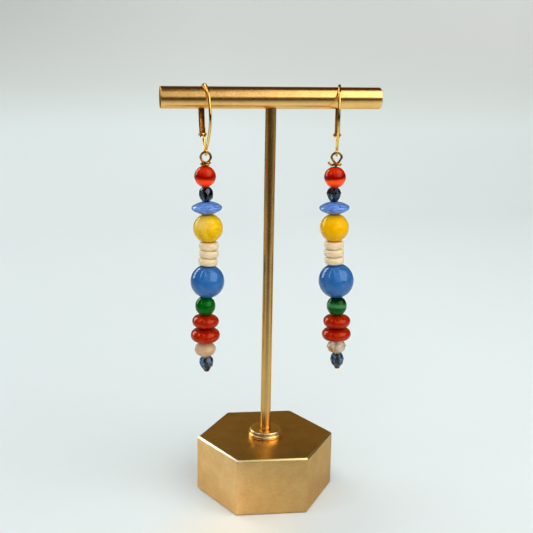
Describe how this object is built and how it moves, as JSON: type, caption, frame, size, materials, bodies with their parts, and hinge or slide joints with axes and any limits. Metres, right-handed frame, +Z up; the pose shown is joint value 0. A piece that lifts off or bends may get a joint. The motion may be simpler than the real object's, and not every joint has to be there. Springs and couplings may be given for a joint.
{
  "type": "pair of beaded drop earrings on a t-bar display stand",
  "caption": "Beaded drop earrings on hinged leverback ear wires, hung by their hooks on the round crossbar of a post stand with a hexagonal base",
  "frame": {"origin": "middle of the base's underside, on the post's axis", "axes": "+X runs along the crossbar to the right as seen from the front, -Y faces the viewer, +Z is up; the flat underside faces -Z"},
  "size_m": [0.062, 0.0368, 0.1214],
  "materials": {
    "stand_gold": "satin gold plating with fine brushing",
    "wire_gold": "polished gold plating",
    "antique_gold": "darkened antique brass, worn bright on the high spots",
    "red_glass": "glossy translucent orange-red",
    "slate_crystal": "facet-cut slate-blue crystal",
    "periwinkle_glaze": "glossy glaze",
    "yellow_stone": "polished, faintly mottled",
    "ivory": "soft satin",
    "blue_glaze": "glossy glaze",
    "green_glass": "glossy deep green",
    "coral_glaze": "glossy glaze",
    "peach_stone": "softly faceted, speckled",
    "champagne_crystal": "facet-cut champagne crystal"
  },
  "bodies": {
    "stand": {"stand_base": "stand_gold", "stand_collar": "stand_gold", "stand_post": "stand_gold", "stand_bar": "stand_gold", "left_ear_wire": "wire_gold", "left_hinge_pin": "wire_gold", "right_ear_wire": "wire_gold", "right_hinge_pin": "wire_gold"},
    "left_lever": {"left_lever": "antique_gold"},
    "left_drop": {"left_drop_pin": "antique_gold", "left_red_bead": "red_glass", "left_crystal_top": "slate_crystal", "left_saucer": "periwinkle_glaze", "left_yellow_bead": "yellow_stone", "left_disc_1": "ivory", "left_disc_2": "ivory", "left_disc_3": "ivory", "left_blue_bead": "blue_glaze", "left_green_bead": "green_glass", "left_rondelle_1": "coral_glaze", "left_rondelle_2": "coral_glaze", "left_peach_bead": "peach_stone", "left_crystal_bottom": "slate_crystal"},
    "right_lever": {"right_lever": "antique_gold"},
    "right_drop": {"right_drop_pin": "antique_gold", "right_red_bead": "red_glass", "right_crystal_top": "slate_crystal", "right_saucer": "periwinkle_glaze", "right_yellow_bead": "yellow_stone", "right_disc_1": "ivory", "right_disc_2": "ivory", "right_disc_3": "ivory", "right_blue_bead": "blue_glaze", "right_green_bead": "green_glass", "right_rondelle_1": "coral_glaze", "right_rondelle_2": "coral_glaze", "right_peach_bead": "champagne_crystal", "right_crystal_bottom": "slate_crystal"}
  },
  "joints": [
    {"name": "left_lever_hinge", "type": "hinge", "parent": "stand", "child": "left_lever", "pos_m": [-0.01868, 0.0029, 0.1072], "axis": [-0.9905, -0.1357, -0.0209], "range_deg": [0, 60]},
    {"name": "left_drop_swing", "type": "hinge", "parent": "stand", "child": "left_drop", "pos_m": [-0.01819, 0.00004, 0.1026], "axis": [0.9907, 0.1357, 0], "range_deg": [-60, 60]},
    {"name": "right_lever_hinge", "type": "hinge", "parent": "stand", "child": "right_lever", "pos_m": [0.02005, 0.00284, 0.10689], "axis": [-0.9723, 0.2334, 0.007], "range_deg": [0, 60]},
    {"name": "right_drop_swing", "type": "hinge", "parent": "stand", "child": "right_drop", "pos_m": [0.01935, 0.00003, 0.10216], "axis": [0.9724, -0.2334, 0], "range_deg": [-60, 60]}
  ]
}
